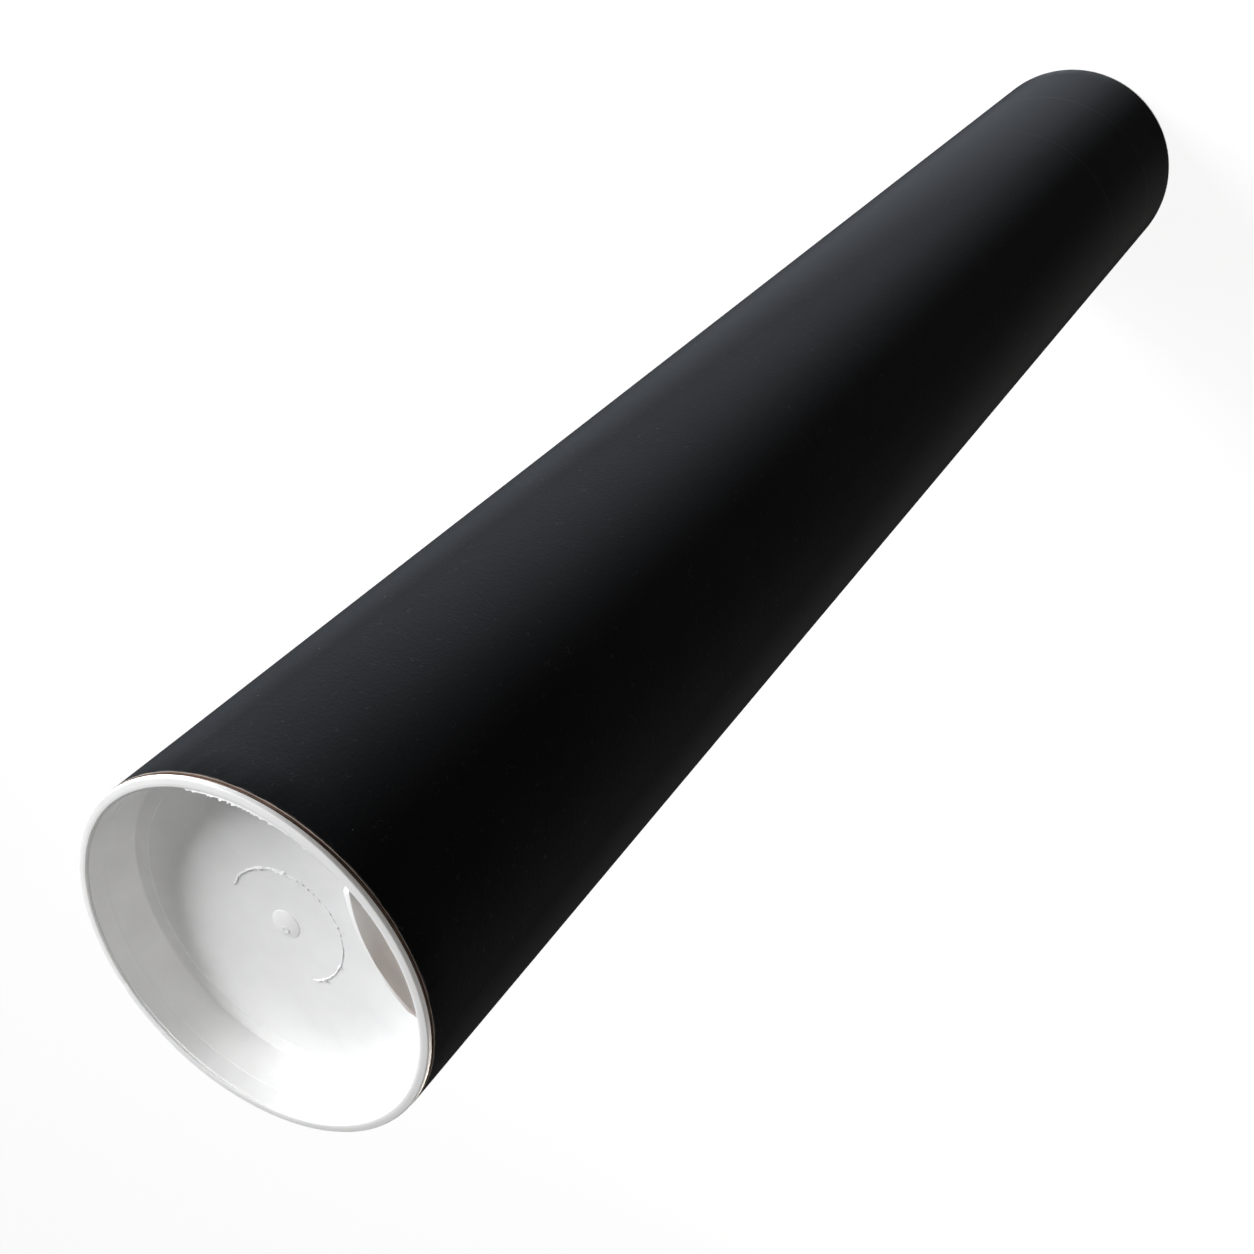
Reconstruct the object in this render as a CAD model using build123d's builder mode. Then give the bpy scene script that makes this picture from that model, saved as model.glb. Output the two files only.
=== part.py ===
from build123d import *

import os
from math import sqrt

# Mailing tube of spiral-wound card, closed at each end by a push-in moulded plug.
# It stands on the lower plug: the axis is Z and the lower flange lies on Z = 0.
# The lower plug is pushed home, and the upper one stands a little proud of the card.

# Card tube
tube_length = 530.0
tube_bore = 76.0
tube_wall = 1.5

# Plug in the bore
plug_clearance = 0.08
mouth_wall = 0.76
foot_wall = 1.27
plug_draft = 0.8
floor_depth = 10.65
floor_thickness = 1.2
foot_chamfer = 1.0
top_stand_off = 0.65

# Flange over the cut end of the card
flange_setback = 0.1
flange_rise = 1.2
lip_land = 0.6
lip_fall = 0.3
lip_round = 0.15
ledge_width = 0.44
ledge_drop = 0.5

# Floor of the cup
corner_round = 0.3
band_width = 3.2
band_step = 0.2
gate_diameter = 6.2
gate_rise = 0.35

# Pull strap across one side of the mouth
strap_span = 28.0
strap_height = 4.5
strap_drop = 0.05
strap_arch = 0.2
strap_thickness = 0.65
strap_end_thickness = 1.2
strap_bow = 2.4
strap_root_share = 0.5

# Radii and levels of the plug, from the underside of its flange
tube_radius = tube_bore / 2 + tube_wall
skirt_radius = tube_bore / 2 - plug_clearance
foot_radius = skirt_radius - plug_draft
flange_radius = tube_radius - flange_setback
mouth_radius = skirt_radius - mouth_wall
lip_radius = mouth_radius + ledge_width
well_radius = foot_radius - foot_wall
band_radius = well_radius - band_width
ledge_level = flange_rise - ledge_drop
floor_level = -floor_depth
foot_level = floor_level - floor_thickness


def end_plug(seat):
    """One plug, moulded in one piece, with the underside of its flange on the given plane, facing its normal."""
    # Section from the axis, out under the floor, up the skirt, over the lip and back down into the cup
    corners_and_rounds = [
        ((0, foot_level), 0),
        ((foot_radius - foot_chamfer, foot_level), 0),
        ((foot_radius, foot_level + foot_chamfer), 0),
        ((skirt_radius, 0), 0),
        ((flange_radius, 0), 0),
        ((flange_radius, flange_rise - lip_fall), lip_round),
        ((lip_radius + lip_land, flange_rise), 0),
        ((lip_radius, flange_rise), lip_round),
        ((lip_radius, ledge_level), 0),
        ((mouth_radius, ledge_level), 0),
        ((well_radius, floor_level + band_step), corner_round),
        ((band_radius, floor_level + band_step), 0),
        ((band_radius, floor_level), 0),
        ((0, floor_level), 0),
    ]
    corners = [corner for corner, _ in corners_and_rounds]
    rounds = [radius for _, radius in corners_and_rounds]

    # The strap's ends run into the wall of the cup, its faces bow in between them and its top is arched
    half_span = strap_span / 2
    end_x = sqrt(mouth_radius**2 - half_span**2)
    root_x = sqrt((mouth_radius + strap_root_share * mouth_wall) ** 2 - half_span**2)
    outer_x = end_x - strap_bow
    inner_x = outer_x - strap_thickness
    inner_end_x = end_x - strap_end_thickness
    strap_top = flange_rise - strap_drop
    strap_foot = strap_top - strap_height
    strap_end_top = strap_top - strap_arch

    with BuildPart() as strap:
        with BuildSketch(Plane.XY.offset(strap_foot)):
            with BuildLine():
                inner = ThreePointArc((inner_end_x, -half_span), (inner_x, 0), (inner_end_x, half_span))
                outer = ThreePointArc((root_x, half_span), (outer_x, 0), (root_x, -half_span))
                Line(inner @ 1, outer @ 0)
                Line(outer @ 1, inner @ 0)
            make_face()
        extrude(amount=strap_height)
        with BuildSketch(Plane.YZ):
            with BuildLine():
                arch = ThreePointArc((-half_span, strap_end_top), (0, strap_top), (half_span, strap_end_top))
                Polyline(arch @ 1, (half_span, strap_foot), (-half_span, strap_foot), arch @ 0)
            make_face()
        extrude(amount=skirt_radius, mode=Mode.INTERSECT)

    with BuildPart() as plug:
        with BuildSketch(Plane.XZ):
            with BuildLine():
                FilletPolyline(*corners, radius=rounds, close=True)
            make_face()
        revolve(axis=Axis.Z)

        # Low dome where the plastic came in
        with BuildSketch(Plane.XZ):
            with BuildLine():
                crown = (0, floor_level + gate_rise)
                dome = TangentArc(crown, (gate_diameter / 2, floor_level), tangent=(1, 0))
                Polyline(dome @ 1, (0, floor_level), crown)
            make_face()
        revolve(axis=Axis.Z)

        add(strap.part)

    return seat.from_local_coords(plug.part)


with BuildPart() as tube:
    with BuildSketch(Plane.XY.offset(flange_rise)):
        Circle(tube_radius)
        Circle(tube_bore / 2, mode=Mode.SUBTRACT)
    extrude(amount=tube_length)

top_level = flange_rise + tube_length + top_stand_off
top_seat = Plane(origin=(0, 0, top_level), x_dir=(1, 0, 0), z_dir=(0, 0, 1))
bottom_seat = Plane(origin=(0, 0, flange_rise), x_dir=(1, 0, 0), z_dir=(0, 0, -1))

with BuildPart() as top_cap:
    add(end_plug(top_seat))

with BuildPart() as bottom_cap:
    add(end_plug(bottom_seat))

tube.part.label = "tube"
top_cap.part.label = "top_cap"
bottom_cap.part.label = "bottom_cap"

os.makedirs("parts", exist_ok=True)
export_step(tube.part, "parts/tube.step")
export_step(top_cap.part, "parts/top_cap.step")
export_step(bottom_cap.part, "parts/bottom_cap.step")
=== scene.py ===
import math
import random

import bmesh
import bpy
from mathutils import Matrix, Vector, noise


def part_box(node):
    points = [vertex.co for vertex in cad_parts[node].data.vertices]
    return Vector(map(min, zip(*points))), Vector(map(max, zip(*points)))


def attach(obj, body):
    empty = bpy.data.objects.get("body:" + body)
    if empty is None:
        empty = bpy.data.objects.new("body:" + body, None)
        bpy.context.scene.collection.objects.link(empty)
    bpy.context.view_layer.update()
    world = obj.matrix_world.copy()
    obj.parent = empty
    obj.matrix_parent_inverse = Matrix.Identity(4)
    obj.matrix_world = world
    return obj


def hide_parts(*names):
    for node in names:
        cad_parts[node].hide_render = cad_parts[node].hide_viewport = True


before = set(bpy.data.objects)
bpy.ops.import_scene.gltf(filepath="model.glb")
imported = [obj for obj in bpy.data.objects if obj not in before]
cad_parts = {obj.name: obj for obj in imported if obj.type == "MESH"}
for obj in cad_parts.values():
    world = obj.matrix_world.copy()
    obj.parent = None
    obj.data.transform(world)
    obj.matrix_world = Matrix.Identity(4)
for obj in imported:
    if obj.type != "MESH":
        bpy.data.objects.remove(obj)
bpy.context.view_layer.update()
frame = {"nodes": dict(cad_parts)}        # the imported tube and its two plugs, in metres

scene = bpy.context.scene
mm = 0.001
fullTurn = 2 * math.pi
sharpAngle = math.radians(38)
number, colour = "NodeSocketFloat", "NodeSocketColor"
print("frame loaded, pieces:", ", ".join(frame["nodes"]))


# Shader tree helpers
def feed(tree, socket, value):
    if isinstance(value, bpy.types.NodeSocket):
        tree.links.new(value, socket)
    else:
        socket.default_value = value


def addNode(tree, kind, inputs=None, **settings):
    made = tree.nodes.new(kind)
    for key, value in settings.items():
        setattr(made, key, value)
    for key, value in (inputs or {}).items():
        feed(tree, made.inputs[key], value)
    return made


def calc(tree, operation, *values):
    made = addNode(tree, "ShaderNodeMath", operation=operation)
    for socket, value in zip(made.inputs, values):
        feed(tree, socket, value)
    return made.outputs[0]


def remap(tree, value, low, high, toLow=0.0, toHigh=1.0):
    ends = {"Value": value, "From Min": low, "From Max": high, "To Min": toLow, "To Max": toHigh}
    return addNode(tree, "ShaderNodeMapRange", ends).outputs[0]


def mixTone(tree, amount, first, second):
    made = addNode(tree, "ShaderNodeMix", data_type="RGBA")
    for socket, value in zip((made.inputs[0], made.inputs[6], made.inputs[7]), (amount, first, second)):
        feed(tree, socket, value)
    return made.outputs[2]


def layOver(tree, tone, second, mask, strength):  # a second tone over the first, through a mask
    return mixTone(tree, calc(tree, "MULTIPLY", mask, strength), tone, second)


def objectPoint(tree):
    return addNode(tree, "ShaderNodeTexCoord").outputs["Object"]


def axisDistance(tree):  # distance from the tube's axis, and height along it
    parts = addNode(tree, "ShaderNodeSeparateXYZ", {"Vector": objectPoint(tree)})
    x, y, z = parts.outputs
    squares = calc(tree, "ADD", calc(tree, "MULTIPLY", x, x), calc(tree, "MULTIPLY", y, y))
    return calc(tree, "SQRT", squares), z


def cloudNoise(tree, cells, detail=2.0):
    inputs = {"Vector": objectPoint(tree), "Scale": cells, "Detail": detail}
    return addNode(tree, "ShaderNodeTexNoise", inputs).outputs[0]


def startGroup(name, inputs, outputs):
    group = bpy.data.node_groups.new(name, "ShaderNodeTree")
    for label, kind in inputs.items():
        group.interface.new_socket(label, in_out="INPUT", socket_type=kind)
    for label, kind in outputs.items():
        group.interface.new_socket(label, in_out="OUTPUT", socket_type=kind)
    return group, group.nodes.new("NodeGroupInput").outputs, group.nodes.new("NodeGroupOutput").inputs


def placeGroup(tree, group, **inputs):
    made = tree.nodes.new("ShaderNodeGroup")
    made.node_tree = group
    for label, value in inputs.items():
        feed(tree, made.inputs[label], value)
    return made.outputs


def newMaterial(name, **shaderValues):
    material = bpy.data.materials.new(name)
    material.use_nodes = True
    shader = material.node_tree.nodes["Principled BSDF"]
    for label, value in shaderValues.items():
        shader.inputs[label.replace("_", " ")].default_value = value
    return material, material.node_tree, shader


# Effects that several finishes share
def makeCloudedTone():  # a colour that drifts darker in soft patches
    inputs = {"Tone": colour, "Cells": number, "Depth": number}
    group, given, out = startGroup("cloudedTone", inputs, {"Tone": colour})
    patches = cloudNoise(group, given["Cells"], 3.0)
    darker = calc(group, "MULTIPLY", remap(group, patches, 0.35, 0.68), given["Depth"])
    shade = calc(group, "SUBTRACT", 1.0, darker)
    scaled = addNode(group, "ShaderNodeVectorMath", {0: given["Tone"], "Scale": shade}, operation="SCALE")
    feed(group, out["Tone"], scaled.outputs[0])
    return group


def makeScatteredSpecks():  # small round spots in some of the cells
    inputs = {"Cells": number, "Size": number, "Share": number}
    group, given, out = startGroup("scatteredSpecks", inputs, {"Mask": number})
    spots = addNode(group, "ShaderNodeTexVoronoi", {"Vector": objectPoint(group), "Scale": given["Cells"]})
    chance, pick, _ = addNode(group, "ShaderNodeSeparateColor", {"Color": spots.outputs["Color"]}).outputs
    size = calc(group, "MULTIPLY", given["Size"], calc(group, "ADD", 0.4, chance))
    near = calc(group, "LESS_THAN", spots.outputs["Distance"], size)
    chosen = calc(group, "LESS_THAN", pick, given["Share"])
    feed(group, out["Mask"], calc(group, "MULTIPLY", near, chosen))
    return group


# Grain of paper and board: cells are times those that a finish asks for
grainMix = {
    "pitShare": 0.55,
    "pitSmoothness": 0.6,
    "feltCells": 0.8,
    "feltDistortion": 0.6,
    "fibreWidth": 0.009,
    "fibrePatchCells": 1.4,
}


def makePaperGrain(mix):  # pressed grain and loose fibres
    outputs = {"Height": number, "Fibres": number}
    group, given, out = startGroup("paperGrain", {"Grain": number, "Fibre": number}, outputs)
    warp = addNode(group, "ShaderNodeTexNoise", {"Vector": objectPoint(group), "Scale": given["Fibre"]})
    cells = {"Vector": objectPoint(group), "Scale": given["Grain"], "Smoothness": mix["pitSmoothness"]}
    pits = addNode(group, "ShaderNodeTexVoronoi", cells, feature="SMOOTH_F1").outputs["Distance"]
    feltCells = calc(group, "MULTIPLY", given["Grain"], mix["feltCells"])
    felt = {"Vector": objectPoint(group), "Scale": feltCells, "Detail": 4.0,
            "Distortion": mix["feltDistortion"]}
    fine = addNode(group, "ShaderNodeTexNoise", felt).outputs[0]
    height = calc(group, "ADD", calc(group, "MULTIPLY", pits, mix["pitShare"]), fine)
    strand = calc(group, "ABSOLUTE", calc(group, "SUBTRACT", warp.outputs[0], 0.5))
    patches = cloudNoise(group, calc(group, "MULTIPLY", given["Fibre"], mix["fibrePatchCells"]))
    thin = remap(group, strand, 0.0, mix["fibreWidth"], 1.0, 0.0)
    fibres = calc(group, "MULTIPLY", thin, remap(group, patches, 0.55, 0.62))
    feed(group, out["Height"], height)
    feed(group, out["Fibres"], fibres)
    return group


seamWander = {"cells": 60.0, "reach": 0.02}  # reach as a share of the pitch


def makeWindingSeam(drift):  # the line where one turn of the wound strip meets the next
    inputs = {"Pitch": number, "Start": number, "Width": number}
    group, given, out = startGroup("windingSeam", inputs, {"Mask": number})
    parts = addNode(group, "ShaderNodeSeparateXYZ", {"Vector": objectPoint(group)})
    x, y, z = parts.outputs
    turn = calc(group, "DIVIDE", calc(group, "ARCTAN2", y, x), fullTurn)
    height = calc(group, "DIVIDE", calc(group, "SUBTRACT", z, given["Start"]), given["Pitch"])
    wander = calc(group, "SUBTRACT", cloudNoise(group, drift["cells"]), 0.5)
    wander = calc(group, "MULTIPLY", wander, drift["reach"])
    along = calc(group, "ADD", calc(group, "SUBTRACT", height, turn), wander)
    away = calc(group, "ABSOLUTE", calc(group, "SUBTRACT", along, calc(group, "ROUND", along)))
    distance = calc(group, "MULTIPLY", away, given["Pitch"])
    feed(group, out["Mask"], remap(group, distance, 0.0, given["Width"], 1.0, 0.0))
    return group


cloudedTone = makeCloudedTone()
scatteredSpecks = makeScatteredSpecks()
paperGrain = makePaperGrain(grainMix)
windingSeam = makeWindingSeam(seamWander)

# Finishes
paperLook = {
    "tone": (0.0048, 0.0050, 0.0057, 1),
    "rubbedTone": (0.20, 0.17, 0.15, 1),
    "dustTone": (0.22, 0.22, 0.23, 1),
    "sheen": 0.29,
    "limbSheen": 0.38,  # share of the sheen that is left where the wall turns away
    "limb": (0.36, 0.64),  # facing at which the sheen starts to fall and ends
    "sheenRoughness": 0.42,
    "sheenTint": (0.86, 0.92, 1.0, 1),
    "grainCells": 1500.0,
    "fibreCells": 330.0,
    "grainRelief": 0.035 * mm,
    "seamPitch": 49 * mm,
    "seamStart": 87.2 * mm,
    "seamWidth": 0.55 * mm,
    "seamLift": 125 * mm,
    "seamFade": 30 * mm,
    "seamPatchCells": 16.0,
    "seamStrength": 0.10,
    "seamRelief": 1.2,
    "clouds": {"Cells": 70.0, "Depth": 0.25},
    "dust": {"Cells": 260.0, "Size": 0.035, "Share": 0.35},
    "dustStrength": 0.35,
    "fibreStrength": 0.09,
    "rubWidth": 0.5 * mm,
    "rubCells": 300.0,
}


def makeBlackPaper(look):
    material, tree, shader = newMaterial("blackPaper", Roughness=0.9, Specular_IOR_Level=0.0,
                                         Sheen_Roughness=look["sheenRoughness"], Sheen_Tint=look["sheenTint"])
    facing = addNode(tree, "ShaderNodeLayerWeight", {"Blend": 0.5}).outputs["Facing"]
    sheen = remap(tree, facing, *look["limb"], look["sheen"], look["sheen"] * look["limbSheen"])
    feed(tree, shader.inputs["Sheen Weight"], sheen)
    tone = placeGroup(tree, cloudedTone, Tone=look["tone"], **look["clouds"])["Tone"]
    grain = placeGroup(tree, paperGrain, Grain=look["grainCells"], Fibre=look["fibreCells"])
    dust = placeGroup(tree, scatteredSpecks, **look["dust"])["Mask"]
    seam = placeGroup(tree, windingSeam, Pitch=look["seamPitch"], Start=look["seamStart"],
                      Width=look["seamWidth"])["Mask"]
    height = axisDistance(tree)[1]
    # the seam is pressed flat along most of the tube and lifts only towards the lower end
    lifted = remap(tree, height, look["seamLift"], look["seamLift"] - look["seamFade"])
    patches = remap(tree, cloudNoise(tree, look["seamPatchCells"]), 0.3, 0.5)
    patchy = calc(tree, "MULTIPLY", calc(tree, "MULTIPLY", seam, lifted), patches)
    tone = layOver(tree, tone, look["dustTone"], grain["Fibres"], look["fibreStrength"])
    tone = layOver(tree, tone, look["rubbedTone"], patchy, look["seamStrength"])
    tone = layOver(tree, tone, look["dustTone"], dust, look["dustStrength"])
    # the paper is rubbed through in places along both cut edges
    low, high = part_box("tube")
    toLow = calc(tree, "SUBTRACT", height, low.z)
    toEnd = calc(tree, "MINIMUM", toLow, calc(tree, "SUBTRACT", high.z, height))
    rubbed = calc(tree, "MULTIPLY", remap(tree, toEnd, 0.0, look["rubWidth"], 1.0, 0.0),
                  remap(tree, cloudNoise(tree, look["rubCells"], 4.0), 0.42, 0.62))
    tone = mixTone(tree, rubbed, tone, look["rubbedTone"])
    feed(tree, shader.inputs["Base Color"], tone)
    relief = calc(tree, "ADD", grain["Height"], calc(tree, "MULTIPLY", patchy, look["seamRelief"]))
    bump = addNode(tree, "ShaderNodeBump", {"Height": relief, "Distance": look["grainRelief"]})
    feed(tree, shader.inputs["Normal"], bump.outputs[0])
    return material


boardLook = {
    "plyAndShadeTones": [  # place from the bore to the outside, then colour; the ply colours are darkened to paint the shade under the plug's flange
        (0.0, (0.10, 0.065, 0.050, 1)), (0.12, (0.26, 0.175, 0.135, 1)), (0.30, (0.31, 0.21, 0.165, 1)),
        (0.34, (0.05, 0.030, 0.024, 1)), (0.40, (0.06, 0.036, 0.028, 1)), (0.44, (0.30, 0.20, 0.155, 1)),
        (0.60, (0.36, 0.25, 0.20, 1)), (0.64, (0.05, 0.030, 0.024, 1)), (0.72, (0.07, 0.042, 0.033, 1)),
        (0.77, (0.33, 0.23, 0.185, 1)), (0.86, (0.20, 0.135, 0.105, 1)), (0.90, (0.05, 0.030, 0.024, 1)),
        (0.93, (0.56, 0.48, 0.42, 1)), (1.0, (0.50, 0.43, 0.38, 1))],
    "fibreTone": (0.50, 0.40, 0.33, 1),
    "fleckTone": (0.31, 0.21, 0.165, 1),
    "clouds": {"Cells": 260.0, "Depth": 0.35},
    "flecks": {"Cells": 420.0, "Size": 0.10, "Share": 0.15},
    "fibreStrength": 0.6,
    "fleckStrength": 0.5,
    "grainCells": 900.0,
    "fibreCells": 300.0,
    "grainRelief": 0.06 * mm,
    "seamPitch": 61 * mm,
    "seamWidth": 0.8 * mm,
}


def makeKraftBoard(look):
    material, tree, shader = newMaterial("kraftBoard", Roughness=0.95, Specular_IOR_Level=0.1)
    low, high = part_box("tube")
    outside = high.x
    bore = outside - tubeShape["wall"]
    radius = axisDistance(tree)[0]
    # real ply colours, darkened as painted shade for the gap under the flange
    ramp = addNode(tree, "ShaderNodeValToRGB", {"Fac": remap(tree, radius, bore, outside)})
    stops = ramp.color_ramp.elements
    for place, tone in look["plyAndShadeTones"][1:-1]:
        stops.new(place).color = tone
    stops[0].color = look["plyAndShadeTones"][0][1]
    stops[-1].color = look["plyAndShadeTones"][-1][1]
    tone = placeGroup(tree, cloudedTone, Tone=ramp.outputs[0], **look["clouds"])["Tone"]
    grain = placeGroup(tree, paperGrain, Grain=look["grainCells"], Fibre=look["fibreCells"])
    flecks = placeGroup(tree, scatteredSpecks, **look["flecks"])["Mask"]
    seam = placeGroup(tree, windingSeam, Pitch=look["seamPitch"], Start=low.z,
                      Width=look["seamWidth"])["Mask"]
    tone = layOver(tree, tone, look["fibreTone"], grain["Fibres"], look["fibreStrength"])
    for mask in (flecks, seam):
        tone = layOver(tree, tone, look["fleckTone"], mask, look["fleckStrength"])
    feed(tree, shader.inputs["Base Color"], tone)
    relief = calc(tree, "SUBTRACT", grain["Height"], seam)
    bump = addNode(tree, "ShaderNodeBump", {"Height": relief, "Distance": look["grainRelief"]})
    feed(tree, shader.inputs["Normal"], bump.outputs[0])
    return material


plasticLook = {
    "tone": (0.90, 0.90, 0.895, 1),
    "clouding": 0.05,
    "dirtTone": (0.22, 0.20, 0.18, 1),
    "ringSpacing": 0.32 * mm,
    "ringRelief": 0.004 * mm,
    "ringLean": 0.7,  # how far the turning marks follow the height
    "ringPatchCells": 90.0,
    "cloudCells": 120.0,
    "specks": {"Cells": 330.0, "Size": 0.045, "Share": 0.10},
    "speckStrength": 0.55,
    "fineCells": 900.0,
    "fineRelief": 2.0,
    "roughness": (0.36, 0.50),
    "translucency": 0.25,
    "translucentDepth": 1.2 * mm,
}
paintedShadeFaceLook = {  # painted shade for the strap's outer face, painted lighter towards one end
    "tone": (0.56, 0.51, 0.48, 1),
    "clouding": 0.14,
    "endTone": (0.92, 0.90, 0.885, 1),
    "endFrom": -1 * mm,
    "endTo": 11 * mm,
}
paintedHighlightTopLook = {  # painted highlight for the strap's top edge, with painted shade towards one end
    "tone": (0.98, 0.98, 0.975, 1),
    "endTone": (0.60, 0.53, 0.50, 1),
    "endFrom": -3 * mm,
    "endTo": -13 * mm,
}


def makeWhitePlastic(name, look):
    material, tree, shader = newMaterial(name, Specular_IOR_Level=0.4, Subsurface_Weight=look["translucency"],
                                         Subsurface_Scale=look["translucentDepth"],
                                         Subsurface_Radius=(1.0, 0.95, 0.85))
    tone = placeGroup(tree, cloudedTone, Tone=look["tone"], Cells=look["cloudCells"],
                      Depth=look["clouding"])["Tone"]
    if "endTone" in look:  # the painted tone changes along the strap, lighter or darker towards one end
        along = addNode(tree, "ShaderNodeSeparateXYZ", {"Vector": objectPoint(tree)}).outputs["Y"]
        tone = mixTone(tree, remap(tree, along, look["endFrom"], look["endTo"]), tone, look["endTone"])
    specks = placeGroup(tree, scatteredSpecks, **look["specks"])["Mask"]
    fine = cloudNoise(tree, look["fineCells"], 3.0)
    tone = layOver(tree, tone, look["dirtTone"], specks, look["speckStrength"])
    feed(tree, shader.inputs["Base Color"], tone)
    feed(tree, shader.inputs["Roughness"], remap(tree, fine, 0.3, 0.7, *look["roughness"]))
    # faint turning marks of the mould run round the axis
    radius, height = axisDistance(tree)
    across = calc(tree, "ADD", radius, calc(tree, "MULTIPLY", height, look["ringLean"]))
    rings = calc(tree, "SINE", calc(tree, "MULTIPLY", across, fullTurn / look["ringSpacing"]))
    patches = remap(tree, cloudNoise(tree, look["ringPatchCells"]), 0.35, 0.65)
    patchy = calc(tree, "MULTIPLY", rings, patches)
    relief = calc(tree, "ADD", patchy, calc(tree, "MULTIPLY", fine, look["fineRelief"]))
    bump = addNode(tree, "ShaderNodeBump", {"Height": relief, "Distance": look["ringRelief"]})
    feed(tree, shader.inputs["Normal"], bump.outputs[0])
    return material


# Mesh helpers
def roundCorners(corners, steps=6):  # a corner is (radius, level, rounding)
    points = []
    for i, (radius, level, rounding) in enumerate(corners):
        here = Vector((radius, level))
        if rounding == 0:
            points.append(here)
            continue
        back = (Vector(corners[i - 1][:2]) - here).normalized()
        ahead = (Vector(corners[i + 1][:2]) - here).normalized()
        half = back.angle(ahead) / 2
        reach = rounding / math.tan(half)
        centre = here + (back + ahead).normalized() * rounding / math.sin(half)
        first = here + back * reach - centre
        last = here + ahead * reach - centre
        for k in range(steps + 1):
            points.append(centre + first.lerp(last, k / steps).normalized() * rounding)
    return points


def joinRings(mesh, ringA, ringB, finish):
    count = len(ringA)
    for k in range(count):
        n = (k + 1) % count
        corners = list(dict.fromkeys((ringA[k], ringA[n], ringB[n], ringB[k])))
        if len(corners) > 2:
            mesh.faces.new(corners).material_index = finish


def spin(section, segments, closed=False, place=None, finishOf=None):
    # turns a section of (radius, level) points round the axis; place() may shift single points
    mesh = bmesh.new()
    rings = []
    for i, (radius, level) in enumerate(section):
        if radius < 1e-7:
            rings.append([mesh.verts.new((0, 0, level))] * segments)
            continue
        ring = []
        for k in range(segments):
            angle = fullTurn * k / segments
            r, z = place(i, angle, radius, level) if place else (radius, level)
            ring.append(mesh.verts.new((r * math.cos(angle), r * math.sin(angle), z)))
        rings.append(ring)
    followers = rings[1:] + rings[:1] if closed else rings[1:]
    for i, (ring, follower) in enumerate(zip(rings, followers)):
        joinRings(mesh, ring, follower, finishOf(i) if finishOf else 0)
    return mesh


def loft(mesh, sections):  # skins closed sections in a row and caps both ends
    rings = [[mesh.verts.new(point) for point in section] for section in sections]
    for ring, follower in zip(rings, rings[1:]):
        joinRings(mesh, ring, follower, 0)
    mesh.faces.new(rings[0])
    mesh.faces.new(rings[-1])


def polar(radius, angle, level):
    return Vector((radius * math.cos(angle), radius * math.sin(angle), level))


def follow(keys, at):  # value between (place, value) keys, with eased steps
    if at <= keys[0][0]:
        return keys[0][1]
    for (a, first), (b, last) in zip(keys, keys[1:]):
        if at <= b:
            t = (at - a) / (b - a)
            return first + (last - first) * t * t * (3 - 2 * t)
    return keys[-1][1]


def ragged(angle, radius, cells, seed):  # repeatable roughness from 0 to 1 round a circle
    point = polar(radius * cells, angle, seed * 7.31)
    return 0.5 + 0.5 * max(-1.0, min(1.0, noise.fractal(point, 0.9, 2.0, 3)))


def addPiece(name, mesh, materials, body, matrix=None):
    if matrix:
        mesh.transform(matrix)
    bmesh.ops.recalc_face_normals(mesh, faces=mesh.faces)
    data = bpy.data.meshes.new(name)
    mesh.to_mesh(data)
    mesh.free()
    for material in materials:
        data.materials.append(material)
    data.polygons.foreach_set("use_smooth", [True] * len(data.polygons))
    data.set_sharp_from_angle(angle=sharpAngle)
    piece = bpy.data.objects.new(name, data)
    scene.collection.objects.link(piece)
    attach(piece, body)
    return piece


# Card tube: black paper over wound board, with its plies showing at the cut ends
tubeShape = {
    "segments": 480,
    "wall": 1.5 * mm,
    "rowSpacing": 8 * mm,
    "paper": 0.20 * mm,
    "plies": 3,
    "plyGroove": 0.07 * mm,
    "grooveDepth": 1.6,  # times its width
    "paperEdge": [(0.02 * mm, 0.06 * mm), (0.07 * mm, 0.01 * mm)],  # in from the outside, then depth
    "plyDepths": (0.03 * mm, 0.0, 0.02 * mm),  # outer edge, middle and inner edge of a ply
    "boreEdge": 0.12 * mm,
    "endMargin": 0.2 * mm,
    "fray": 0.10 * mm,
    "torn": [(700.0, 0.7, 0), (120.0, 0.6, 9)],  # cells, share and seed
    "paperPull": 0.3,  # share of the fray that draws the paper's edge inwards
    "wave": 0.04 * mm,
    "waveCells": 14,
}


def cutEdge(shape, outside):  # (radius, depth below the end) across the card, from outside to inside
    inside = outside - shape["wall"]
    core = outside - shape["paper"]
    groove = shape["plyGroove"]
    points = [(outside - inset, depth) for inset, depth in shape["paperEdge"]] + [(core + groove / 2, 0.0)]
    outerDepth, middleDepth, innerDepth = shape["plyDepths"]
    ply = (core - inside) / shape["plies"]
    for n in range(shape["plies"]):
        top = core - n * ply
        points += [(top, shape["grooveDepth"] * groove), (top - groove / 2, outerDepth),
                   (top - ply / 2, middleDepth), (top - ply + groove / 2, innerDepth)]
    points.append((inside, shape["boreEdge"]))
    return points


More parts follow.
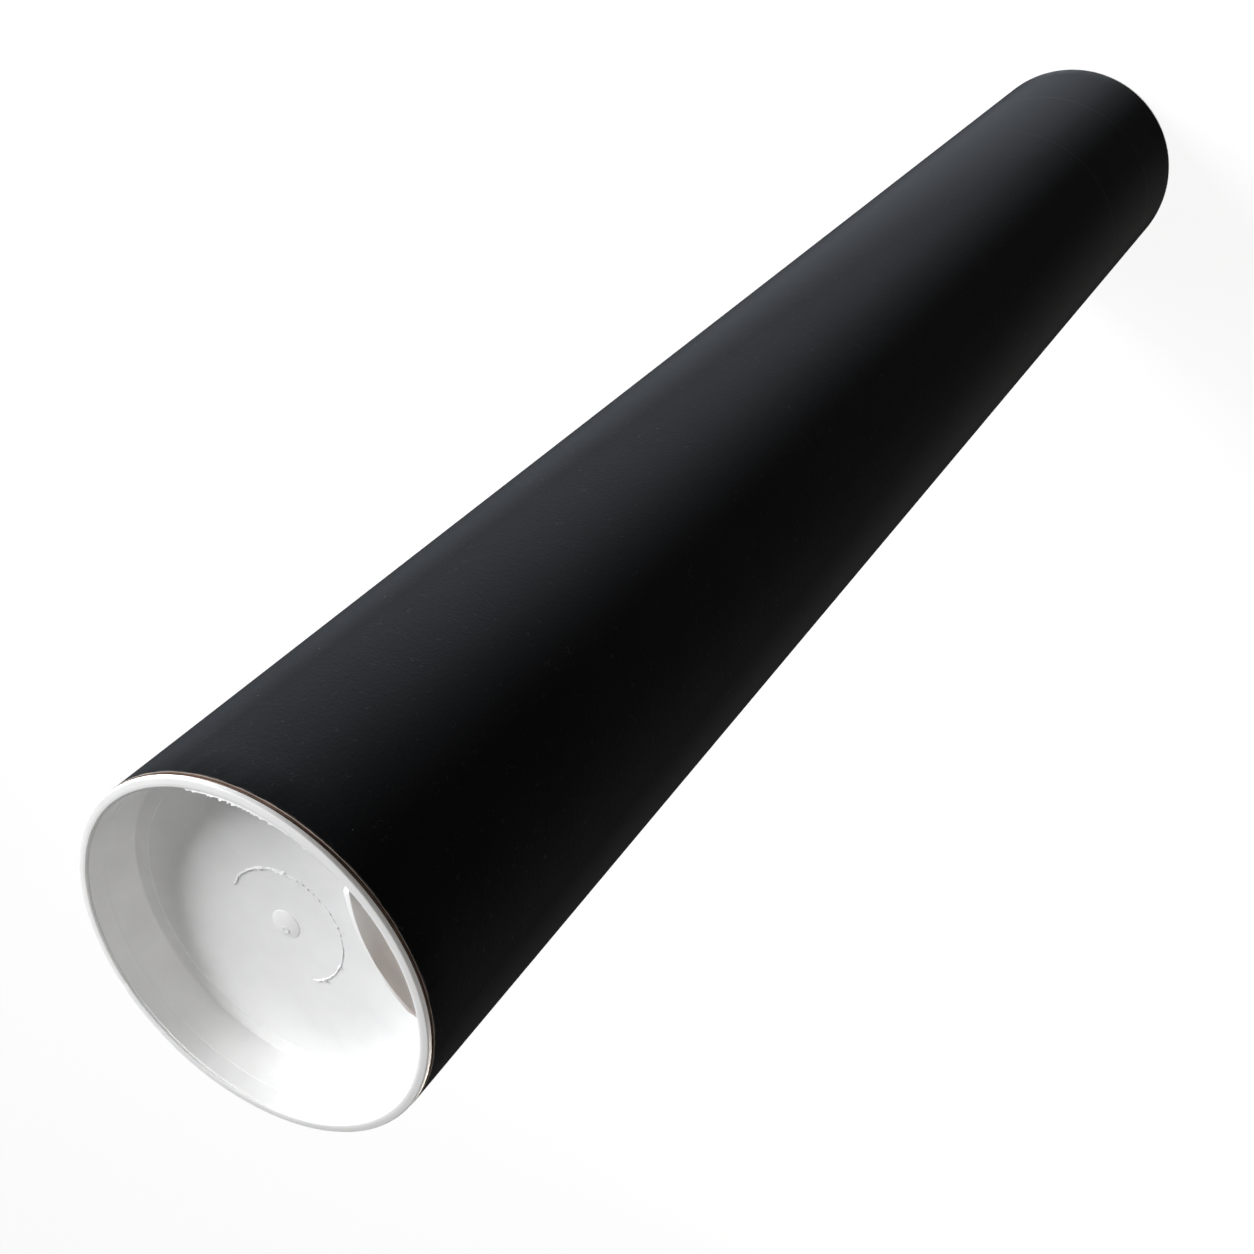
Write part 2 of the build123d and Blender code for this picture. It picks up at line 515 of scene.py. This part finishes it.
def makeTube(shape, blackPaper, kraftBoard):
    low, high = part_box("tube")
    outside = high.x
    edge = cutEdge(shape, outside)
    rows = round((high.z - low.z) / shape["rowSpacing"])
    margin = shape["endMargin"]
    wallLevels = [low.z + margin + (high.z - low.z - 2 * margin) * k / rows for k in range(rows + 1)]
    section = [(outside, z) for z in wallLevels]
    section += [(r, high.z - depth) for r, depth in edge]
    section += [(edge[-1][0], z) for z in reversed(wallLevels[::3])]  # the bore needs fewer rows
    section += [(r, low.z + depth) for r, depth in reversed(edge)]
    topCut = range(len(wallLevels), len(wallLevels) + len(edge))
    lowCut = range(len(section) - len(edge), len(section))

    def place(i, angle, r, z):
        if i < len(wallLevels):
            cells = shape["waveCells"]
            swell = noise.noise(polar(r * cells, angle, z * cells)) * 0.5 + 0.5
            return r - shape["wave"] * swell, z
        if i not in topCut and i not in lowCut:
            return r, z
        step = i - topCut[0] if i in topCut else lowCut[-1] - i
        ply = (step + 1) // 4  # the paper, then four points to each ply
        torn = sum(ragged(angle, r, cells, ply + seed) * share for cells, share, seed in shape["torn"])
        depth = shape["fray"] * torn
        pull = shape["paperPull"] * depth if step < 3 else 0.0
        return r - pull, z - depth if i in topCut else z + depth

    def finishOf(i):
        return 0 if i < len(wallLevels) or i == len(section) - 1 else 1

    mesh = spin(section, shape["segments"], True, place, finishOf)
    tube = addPiece("tubeBody", mesh, [blackPaper, kraftBoard], "tube")
    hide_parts("tube")
    print("tube:", len(tube.data.polygons), "faces")


# Loose fibres on the cut card: lengths in millimetres
frayShape = {
    "fibresPerEnd": 90,
    "insets": (0.12, 0.22, 0.30, 0.62, 1.0),  # in from the outside of the card
    "length": (0.25, 0.9),
    "riseShare": (0.05, 0.35),
    "thickness": (0.02, 0.045),
    "wander": 0.12,
    "root": 0.1,
    "curl": 2.4,
    "taper": 0.8,
    "riseLimit": 0.5,
    "edgeGap": 0.05,
    "topRoom": 0.035,  # the upper plug's flange comes down to 0.05
    "lowRoom": -0.01,  # the lower plug's flange lies on the card
    "seed": 5,
}


def makeFray(shape, kraftBoard):
    low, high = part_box("tube")
    chance = random.Random(shape["seed"])
    ends = (("topFray", high.z, 1, shape["topRoom"]), ("lowFray", low.z, -1, shape["lowRoom"]))
    for name, level, way, room in ends:
        mesh = bmesh.new()
        for _ in range(shape["fibresPerEnd"]):
            angle = chance.uniform(0, fullTurn)
            radius = high.x - chance.choice(shape["insets"]) * mm
            length = chance.uniform(*shape["length"]) * mm
            lean = chance.uniform(-1, 1) * length / radius
            rise = chance.uniform(*shape["riseShare"]) * min(length, shape["riseLimit"] * mm)
            thick = chance.uniform(*shape["thickness"]) * mm
            sections = []
            for k in range(5):
                t = k / 4
                r = radius + shape["wander"] * mm * t * chance.uniform(-1, 1)
                r = min(r, high.x - shape["edgeGap"] * mm)
                stand = rise * math.sin(shape["curl"] * t) - shape["root"] * mm * (1 - t)
                stand = min(stand, room * mm)
                middle = polar(r, angle + lean * t, level + way * stand)
                width = thick * (1 - shape["taper"] * t)
                around = [polar(width, fullTurn * n / 3, 0) for n in range(3)]
                sections.append([middle + p for p in around])
            loft(mesh, sections)
        addPiece(name, mesh, [kraftBoard], "tube")


# Plug: flange, cup, band and gate mark, with levels from the underside of the flange
plugShape = {
    "segments": 400,
    "flangeRise": 1.2 * mm,
    "lipLand": 0.6 * mm,
    "lipFall": 0.15 * mm,
    "lipRound": 0.30 * mm,
    "lipInnerRound": 0.12 * mm,
    "lipRadius": 37.60 * mm,
    "ledgeLevel": 0.70 * mm,
    "mouthRadius": 37.16 * mm,
    "wallMarkLevel": -2.85 * mm,
    "wallMark": 0.07 * mm,
    "wellRadius": 35.85 * mm,
    "wellRound": 0.3 * mm,
    "bandRadius": 32.65 * mm,
    "bandStep": 0.2 * mm,
    "floorLevel": -10.65 * mm,
    "gateRadius": 3.1 * mm,
    "gateRise": 0.38 * mm,
    "gateStep": 0.09 * mm,
    "gateFoot": 0.04 * mm,  # keeps the foot of the gate crisp
    "gateRings": 10,
    "skirtRadius": 37.92 * mm,
    "footRadius": 37.12 * mm,
    "footLevel": -11.85 * mm,
    "footChamfer": 1.0 * mm,
    "edgeRound": 0.12 * mm,
    "lipUnevenness": 0.06 * mm,
    "lipCells": 2.5,
    "lipFrom": 0.2 * mm,
    "floorRings": (0.85, 0.7, 0.55, 0.4, 0.25),  # shares of the band's radius
    "floorWave": 0.03 * mm,
    "floorWaveCells": 60,
    # angle in degrees, depth, and width in degrees
    "nicks": [(-174.7, 0.16 * mm, 1.1), (-158, 0.10 * mm, 0.8), (131, 0.07 * mm, 0.7)],
}


def plugSection(shape, flangeRadius):
    fine = shape["edgeRound"]
    floor = shape["floorLevel"]
    rise, ledge = shape["flangeRise"], shape["ledgeLevel"]
    mouth = shape["mouthRadius"]
    lip = shape["lipRadius"]
    mark, markLevel = shape["wallMark"], shape["wallMarkLevel"]
    wallShare = (ledge - markLevel) / (ledge - floor - shape["bandStep"])
    markRadius = mouth + (shape["wellRadius"] - mouth) * wallShare
    corners = [
        (0, shape["footLevel"], 0),
        (shape["footRadius"] - shape["footChamfer"], shape["footLevel"], 2 * fine),
        (shape["footRadius"], shape["footLevel"] + shape["footChamfer"], 2 * fine),
        (shape["skirtRadius"], 0, fine),
        (flangeRadius, 0, fine),
        (flangeRadius, rise - shape["lipFall"], shape["lipRound"]),
        (lip + shape["lipLand"], rise, 2 * fine),
        (lip, rise, shape["lipInnerRound"]),
        (lip, ledge, fine / 4),
        (mouth, ledge, fine / 2),
        (markRadius + mark, markLevel, 0),
        (markRadius, markLevel - mark, 0),
        (shape["wellRadius"], floor + shape["bandStep"], shape["wellRound"]),
        (shape["bandRadius"], floor + shape["bandStep"], fine / 3),
        (shape["bandRadius"], floor, fine / 3),
    ]
    section = roundCorners(corners + [(0, floor, 0)])[:-1]
    for share in shape["floorRings"]:
        section.append((shape["bandRadius"] * share, floor))
    section.append((shape["gateRadius"] + shape["gateFoot"], floor))
    for k in range(shape["gateRings"] + 1):
        r = shape["gateRadius"] * (1 - (k / shape["gateRings"]) ** 1.5)
        crown = (shape["gateRise"] - shape["gateStep"]) * (1 - (r / shape["gateRadius"]) ** 2)
        section.append((r, floor + shape["gateStep"] + crown))
    return section


def makeCup(name, node, shape, seat):
    section = plugSection(shape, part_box(node)[1].x)
    floor = shape["floorLevel"]

    def place(i, angle, r, z):
        if r > shape["lipRadius"] and z > shape["lipFrom"]:
            r -= shape["lipUnevenness"] * ragged(angle, 1.0, shape["lipCells"], 3)
            for where, depth, width in shape["nicks"]:
                off = (math.degrees(angle) - where + 180) % 360 - 180
                dip = depth * math.exp(-(off / width) ** 2)
                r -= dip
                z -= 0.5 * dip
        elif r < shape["bandRadius"] * 0.9 and abs(z - floor) < 0.01 * mm:  # the floor is a little wavy
            z += shape["floorWave"] * noise.noise(polar(r * shape["floorWaveCells"], angle, 1.7))
        return r, z

    mesh = spin(section, shape["segments"], False, place)
    cup = addPiece(name, mesh, [whitePlastic], node, seat)
    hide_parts(node)


# Pull strap across one side of the mouth
strapShape = {
    "halfSpan": 14 * mm,
    "top": 1.15 * mm,
    "arch": 0.65 * mm,
    "endDrop": 0.9 * mm,  # one end is pressed down
    "dropLength": 1.7 * mm,
    "height": 4.5 * mm,
    "outerMiddle": 32.02 * mm,
    "outerEnd": 34.83 * mm,
    "innerMiddle": 31.15 * mm,
    "innerEnd": 32.8 * mm,
    "topTilt": 0.25,  # the top falls towards the inside
    "innerRound": 0.10 * mm,
    "outerRound": 0.05 * mm,
    "endCut": 1.3 * mm,  # the inner corner of each end is cut away over this length
    "endCutSlope": 0.85,
    "sag": 0.04 * mm,
    "sagWaves": 3,
    "topGap": 0.03 * mm,
    "cornerSteps": 4,
    "stations": 90,
}


def makeStrap(name, body, shape, seat):
    mesh = bmesh.new()
    sections = []
    half = shape["halfSpan"]
    stations, steps = shape["stations"], shape["cornerSteps"]
    for k in range(stations + 1):
        t = -1 + 2 * k / stations
        t = math.sin(t * math.pi / 2)  # closer together towards the ends
        outer = shape["outerMiddle"] + (shape["outerEnd"] - shape["outerMiddle"]) * t * t
        inner = shape["innerMiddle"] + (shape["innerEnd"] - shape["innerMiddle"]) * t * t
        toEnd = half * (1 - abs(t))
        inner += max(0.0, shape["endCut"] - toEnd) * shape["endCutSlope"]
        sag = shape["sag"] * noise.noise(Vector((t * shape["sagWaves"], 0.4, 2.0)))
        top = shape["top"] - shape["arch"] * t * t - shape["topGap"] + sag
        if t > 0:
            top -= shape["endDrop"] * max(0.0, 1 - toEnd / shape["dropLength"])
        low = shape["top"] - shape["height"]
        innerTop = top - shape["topTilt"] * (outer - inner)
        corners = ((inner, low, 1, 1), (outer, low, -1, 1), (outer, top, -1, -1), (inner, innerTop, 1, -1))
        around = []
        for x, z, toX, toZ in corners:
            bend = shape["innerRound"] if toX > 0 else shape["outerRound"]
            for m in range(steps + 1):
                turn = math.pi / 2 * (m / steps if toX * toZ > 0 else 1 - m / steps)
                roundX = x + toX * bend * (1 - math.cos(turn))
                around.append((roundX, half * t, z + toZ * bend * (1 - math.sin(turn))))
        sections.append(around)
    loft(mesh, sections)
    mesh.normal_update()
    bmesh.ops.recalc_face_normals(mesh, faces=mesh.faces)
    for face in mesh.faces:
        if face.normal.x > 0.8:  # the outer side is given painted shade
            face.material_index = 1
        elif face.normal.z > 0.5:  # the top edge is given a painted highlight
            face.material_index = 2
    finishes = [whitePlastic, paintedShadeFacePlastic, paintedHighlightTopPlastic]
    addPiece(name, mesh, finishes, body, seat)


# Ragged ring left on the floor of the cup
witnessShape = {
    "radius": 12.75 * mm,
    "halfWidth": 0.25 * mm,
    # angle in degrees, then height in millimetres
    "heights": [(-95, 0.0), (-93, 0.28), (-84, 0.30), (-82, 0.28), (-80, 0.80), (-78, 0.24), (-55, 0.20),
                (-54, 0.20), (-52, 0.75), (-50, 0.18), (-34, 0.20), (-24, 0.06), (-23, 0.16), (-17, 0.03),
                (-16, 0.16), (-9, 0.03), (-8, 0.20), (-3, 0.02), (-2, 0.14), (5, 0.02), (6, 0.18), (11, 0.02),
                (12, 0.14), (18, 0.01), (19, 0.0), (20, 0.24), (24, 0.0), (26.6, 0.0), (27.4, 0.26),
                (31.5, 0.0), (33, 0.0), (33.8, 0.30), (38, 0.0), (38.8, 0.34), (44, 0.14), (46, 0.38),
                (62, 0.46), (72, 0.36), (80, 0.44), (96, 0.38), (112, 0.28), (126, 0.32), (132, 0.0)],
    "roughCells": 1500.0,
    "knotCells": 520.0,
    "knotFrom": 0.6,
    "knotGain": 5,
    "tallMix": (0.45, 0.7, 0.5),  # plain share, then what roughness and knots add
    "knotWidth": 0.7,
    "thinnest": 0.3,
    "fullHeight": 0.3 * mm,  # where the ring gets its full width
    "profile": [(-0.8, 0.5), (-0.2, 1.0), (0.7, 0.75)],  # shares across and up
    "drift": [(0.3 * mm, 160.0, 6), (0.35 * mm, 800.0, 7)],  # width, cells and seed
    "offCentre": 0.25 * mm,
    "sunk": 0.06 * mm,
    "stations": 640,
}


def makeWitness(name, body, shape, floor, seat):
    mesh = bmesh.new()
    sections = []
    first, last = shape["heights"][0][0], shape["heights"][-1][0]
    plain, roughShare, knotShare = shape["tallMix"]
    thinnest = shape["thinnest"]
    base = floor - shape["sunk"]
    for k in range(shape["stations"] + 1):
        degrees = first + (last - first) * k / shape["stations"]
        angle = math.radians(degrees)
        rough = ragged(angle, shape["radius"], shape["roughCells"], 2)
        knot = ragged(angle, shape["radius"], shape["knotCells"], 5) - shape["knotFrom"]
        knot = max(0.0, knot) * shape["knotGain"]
        tall = follow(shape["heights"], degrees) * mm * (plain + roughShare * rough + knotShare * knot)
        grown = thinnest + (1 - thinnest) * min(1.0, tall / shape["fullHeight"])
        wide = shape["halfWidth"] * grown * (1 + shape["knotWidth"] * knot)
        middle = shape["radius"] + shape["offCentre"] * math.cos(angle + 1.4)
        for reach, cells, seed in shape["drift"]:
            middle += reach * (ragged(angle, shape["radius"], cells, seed) - 0.5)
        profile = [(across * wide, floor + up * tall) for across, up in shape["profile"]]
        profile = [(-wide, base)] + profile + [(wide, base)]
        sections.append([polar(middle + r, angle, z) for r, z in profile])
    loft(mesh, sections)
    addPiece(name, mesh, [whitePlastic], body, seat)


# Thin flash that the mould left standing on the ledge, leaning in
flashShape = {
    # angle in degrees, then share of full height
    "growth": [(23, 0.0), (25, 0.85), (40, 0.9), (50, 1.0), (68, 1.0), (72, 0.9), (76, 0.6), (78, 0.0)],
    "rise": 0.46 * mm,
    "lean": 0.62 * mm,
    "thickness": 0.09 * mm,
    "teeth": (0.5 * mm, 2.4 * mm),  # shortest and longest
    "peaks": (0.25, 1.0),
    "shoulders": (0.1, 0.5),  # shares of the peak
    "dips": (0.0, 0.2),
    "shoulderAt": 0.45,
    "peakAt": 0.88,
    "untorn": 0.42,  # share that stands between the teeth
    "nibCells": 2600.0,
    "nib": 0.2,
    "rootInset": 0.06 * mm,
    "sunk": (0.05 * mm, 0.10 * mm),  # outer and inner foot
    "stations": 700,
    "seed": 12,
}


def tornTeeth(shape, radius, first, last):  # (angle, height from 0 to 1): slow rises and sharp drops
    chance = random.Random(shape["seed"])
    keys = []
    at = first
    while at < last:
        length = math.degrees(chance.uniform(*shape["teeth"]) / radius)
        peak = chance.uniform(*shape["peaks"])
        dip = chance.uniform(*shape["dips"])
        shoulder = chance.uniform(*shape["shoulders"]) * peak
        keys += [(at, dip), (at + shape["shoulderAt"] * length, shoulder),
                 (at + shape["peakAt"] * length, peak)]
        at += length
    return keys


def makeFlash(name, body, shape, plug, seat):
    mesh = bmesh.new()
    sections = []
    first, last = shape["growth"][0][0], shape["growth"][-1][0]
    root, level = plug["mouthRadius"] + shape["rootInset"], plug["ledgeLevel"]
    thick = shape["thickness"]
    outerSunk, innerSunk = shape["sunk"]
    teeth = tornTeeth(shape, root, first, last)
    for k in range(shape["stations"] + 1):
        degrees = first + (last - first) * k / shape["stations"]
        angle = math.radians(degrees)
        nib = shape["nib"] * max(0.0, ragged(angle, root, shape["nibCells"], 9) - 0.5)
        tooth = (1 - shape["untorn"]) * follow(teeth, degrees)
        share = follow(shape["growth"], degrees) * min(1.0, shape["untorn"] + tooth + nib)
        tipRadius = root - shape["lean"] * share
        tipLevel = level + shape["rise"] * share
        profile = [(root + thick, level - outerSunk), (tipRadius + 0.5 * thick, tipLevel),
                   (tipRadius, tipLevel - 0.2 * thick), (root - 0.5 * thick, level - innerSunk)]
        sections.append([polar(r, angle, z) for r, z in profile])
    loft(mesh, sections)
    addPiece(name, mesh, [whitePlastic], body, seat)


# Small ring left on the gate
pipShape = {
    "centre": (-0.58 * mm, -1.09 * mm),
    "ringRadius": 0.64 * mm,
    "ridge": 0.13 * mm,
    "pit": 0.19 * mm,
    "sunk": 0.2 * mm,
    "profile": [(1.45, 0.1), (1.2, 0.8), (1.0, 1.0), (0.8, 0.8)],  # shares of the ring's radius and ridge
    "foot": 1.5,
    "pitShare": 0.4,
    "segments": 40,
}


def makeGatePip(name, body, shape, plug, seat):
    x, y = shape["centre"]
    away = math.hypot(x, y) / plug["gateRadius"]
    crown = (plug["gateRise"] - plug["gateStep"]) * (1 - away ** 2)
    level = plug["floorLevel"] + plug["gateStep"] + crown
    ring, ridge = shape["ringRadius"], shape["ridge"]
    base = level - shape["sunk"]
    bottom = level + ridge - shape["pit"]
    section = [(0, base), (shape["foot"] * ring, base)]
    section += [(across * ring, level + up * ridge) for across, up in shape["profile"]]
    section += [(shape["pitShare"] * ring, bottom), (0, bottom)]
    mesh = spin(section, shape["segments"])
    addPiece(name, mesh, [whitePlastic], body, seat @ Matrix.Translation((x, y, 0)))


# Studio
studio = {
    "camera": (0.25176, 0.11992, 0.70862),
    "cameraTurn": (-32.012, 28.12, -26.398),
    "lens": 50.087,
    "sensor": 36.0,
    "floorRadius": 6.0,
    "worldTone": (0.004, 0.004, 0.004, 1),
    "floorBounce": (0.20, 0.18, 0.165, 1),
    "floorGlow": 0.90,
    "floorShade": 0.12,
}
# azimuth and elevation in degrees from a point on the axis at aimHeight, metres and watts
lamps = {
    "keySoftbox": {"azimuth": 119, "elevation": 29.4, "distance": 2.6, "aimHeight": 0.45, "size": (0.9, 1.2),
                   "power": 87.5, "tone": (0.985, 0.99, 1.0)},
    "topSoftbox": {"azimuth": 60, "elevation": 82, "distance": 2.2, "aimHeight": 0.45, "size": (1.6, 1.6),
                   "power": 7.0, "tone": (1.0, 1.0, 1.0)},
    "frontFill": {"azimuth": -8, "elevation": 16, "distance": 2.0, "aimHeight": 0.53, "size": (1.2, 0.5),
                  "power": 6.3, "tone": (1.0, 0.975, 0.945)},
    "rightFill": {"azimuth": -70, "elevation": 30, "distance": 2.0, "aimHeight": 0.53, "size": (1.0, 0.6),
                  "power": 1.1, "tone": (1.0, 0.985, 0.96)},
    "lowStrip": {"azimuth": 147, "elevation": 0, "distance": 0.7, "aimHeight": 0.12, "size": (0.6, 0.22),
                 "power": 12.0, "tone": (0.90, 0.95, 1.0)},
    "warmStrip": {"azimuth": -100, "elevation": 0, "distance": 0.7, "aimHeight": 0.10, "size": (0.5, 0.18),
                  "power": 2.0, "tone": (1.0, 0.90, 0.78)},
}


def backgroundShare(tree):  # 1 where the camera, a reflection or a clear piece sees the backdrop
    path = addNode(tree, "ShaderNodeLightPath").outputs
    seen = calc(tree, "MAXIMUM", path["Is Camera Ray"], path["Is Glossy Ray"])
    return calc(tree, "MAXIMUM", seen, path["Is Transmission Ray"])


def makeFloor(look):
    material = bpy.data.materials.new("paleFloor")
    material.use_nodes = True
    tree = material.node_tree
    tree.nodes.clear()
    bounce = addNode(tree, "ShaderNodeBsdfDiffuse", {"Color": look["floorBounce"]})
    shade = look["floorShade"]
    shadow = addNode(tree, "ShaderNodeBsdfDiffuse", {"Color": (shade, shade, shade, 1)})
    glow = addNode(tree, "ShaderNodeEmission", {"Color": (1, 1, 1, 1), "Strength": look["floorGlow"]})
    seen = addNode(tree, "ShaderNodeAddShader", {0: shadow.outputs[0], 1: glow.outputs[0]})
    both = {0: backgroundShare(tree), 1: bounce.outputs[0], 2: seen.outputs[0]}
    mixed = addNode(tree, "ShaderNodeMixShader", both)
    addNode(tree, "ShaderNodeOutputMaterial", {"Surface": mixed.outputs[0]})
    mesh = bmesh.new()
    bmesh.ops.create_circle(mesh, cap_ends=True, segments=96, radius=look["floorRadius"])
    data = bpy.data.meshes.new("floor")
    mesh.to_mesh(data)
    mesh.free()
    data.materials.append(material)
    floor = bpy.data.objects.new("floor", data)
    scene.collection.objects.link(floor)


def makeWorld(look):
    world = bpy.data.worlds.new("studioWorld")
    scene.world = world
    world.use_nodes = True
    tree = world.node_tree
    tree.nodes.clear()
    dim = addNode(tree, "ShaderNodeBackground", {"Color": look["worldTone"], "Strength": 1.0})
    white = addNode(tree, "ShaderNodeBackground", {"Color": (1, 1, 1, 1), "Strength": 1.0})
    both = {0: backgroundShare(tree), 1: dim.outputs[0], 2: white.outputs[0]}
    mixed = addNode(tree, "ShaderNodeMixShader", both)
    addNode(tree, "ShaderNodeOutputWorld", {"Surface": mixed.outputs[0]})


def makeLamps(lamps):
    for name, look in lamps.items():
        lamp = bpy.data.lights.new(name, "AREA")
        lamp.shape = "RECTANGLE"
        lamp.size, lamp.size_y = look["size"]
        lamp.energy = look["power"]
        lamp.color = look["tone"]
        elevation = math.radians(look["elevation"])
        way = polar(math.cos(elevation), math.radians(look["azimuth"]), math.sin(elevation))
        holder = bpy.data.objects.new(name, lamp)
        holder.location = Vector((0, 0, look["aimHeight"])) + way * look["distance"]
        holder.rotation_euler = way.to_track_quat("Z", "Y").to_euler()
        holder.visible_camera = False
        scene.collection.objects.link(holder)


def makeCamera(look):
    data = bpy.data.cameras.new("photoCamera")
    data.sensor_fit = "HORIZONTAL"
    data.sensor_width = look["sensor"]
    data.lens = look["lens"]
    data.clip_start = 0.01
    camera = bpy.data.objects.new("photoCamera", data)
    camera.location = look["camera"]
    camera.rotation_euler = [math.radians(a) for a in look["cameraTurn"]]
    scene.collection.objects.link(camera)
    scene.camera = camera


blackPaper = makeBlackPaper(paperLook)
kraftBoard = makeKraftBoard(boardLook)
whitePlastic = makeWhitePlastic("whitePlastic", plasticLook)
# painted shade for the strap's outer face
paintedShadeFacePlastic = makeWhitePlastic("paintedShadeFacePlastic", {**plasticLook, **paintedShadeFaceLook})
# painted highlight on the strap's top edge
paintedHighlightTopPlastic = makeWhitePlastic("paintedHighlightTopPlastic", {**plasticLook, **paintedHighlightTopLook})
print("finishes made")

makeTube(tubeShape, blackPaper, kraftBoard)
makeFray(frayShape, kraftBoard)

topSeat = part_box("top_cap")[1].z - plugShape["flangeRise"]
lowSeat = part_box("bottom_cap")[0].z + plugShape["flangeRise"]
seats = {
    "top_cap": Matrix.Translation((0, 0, topSeat)),
    "bottom_cap": Matrix.Translation((0, 0, lowSeat)) @ Matrix.Rotation(math.pi, 4, "X"),
}
for node, seat in seats.items():
    makeCup(node + "_cup", node, plugShape, seat)
    makeStrap(node + "_strap", node, strapShape, seat)
    makeWitness(node + "_witness", node, witnessShape, plugShape["floorLevel"], seat)
    makeFlash(node + "_flash", node, flashShape, plugShape, seat)
    makeGatePip(node + "_gate_pip", node, pipShape, plugShape, seat)
    print(node, "dressed")

makeFloor(studio)
makeWorld(studio)
makeLamps(lamps)
makeCamera(studio)
scene.view_settings.view_transform = "Standard"
print("studio set")
